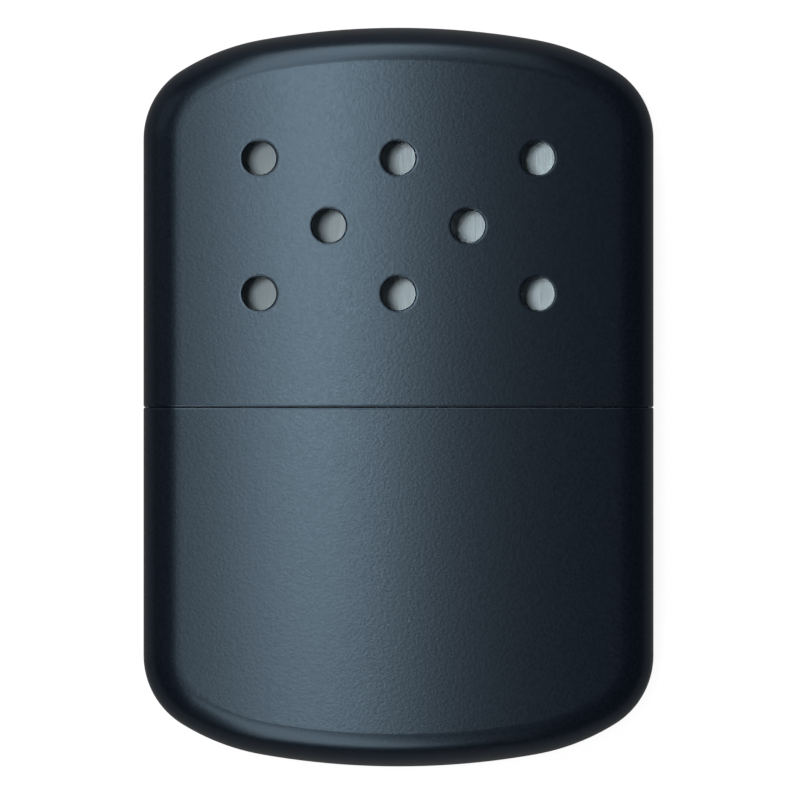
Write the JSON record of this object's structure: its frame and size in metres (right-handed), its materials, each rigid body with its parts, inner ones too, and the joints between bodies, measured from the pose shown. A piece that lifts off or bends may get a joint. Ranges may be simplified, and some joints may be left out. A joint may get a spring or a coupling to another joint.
{
  "type": "catalytic hand warmer",
  "caption": "Flat pocket warmer: vented pull-off lid over a fuel tank with a fill neck and lift-off catalytic burner.",
  "frame": {"origin": "centre of the box that the warmer fills, on the surface under its back", "axes": "+X across the width, +Y along the body from the tank towards the vented lid, +Z out of the front face; the warmer lies on its back"},
  "size_m": [0.068, 0.0984, 0.0136],
  "materials": {
    "black_coat": "satin black powder coat with a fine even grain",
    "bright_plate": "bright nickel plate",
    "spring_steel": "plain stainless steel",
    "glass_fibre": "grey-white glass-fibre mat",
    "cotton": "packed raw cotton"
  },
  "bodies": {
    "case": {"case_shell": "black_coat", "seam_collar": "bright_plate", "tank_deck": "bright_plate", "fill_neck": "bright_plate", "fuel_cotton": "cotton"},
    "burner": {"burner_skirt": "bright_plate", "grip_springs": "spring_steel", "burner_cage": "bright_plate", "mat_screen": "spring_steel", "catalyst_mat": "glass_fibre", "wire_guard": "spring_steel"},
    "lid": {"lid_shell": "black_coat"}
  },
  "joints": [
    {"name": "lid_slide", "type": "slide", "parent": "case", "child": "lid", "axis": [0, 1, 0], "range_m": [0, 0.02]},
    {"name": "burner_slide", "type": "slide", "parent": "case", "child": "burner", "axis": [0, 1, 0], "range_m": [0, 0.007]}
  ]
}
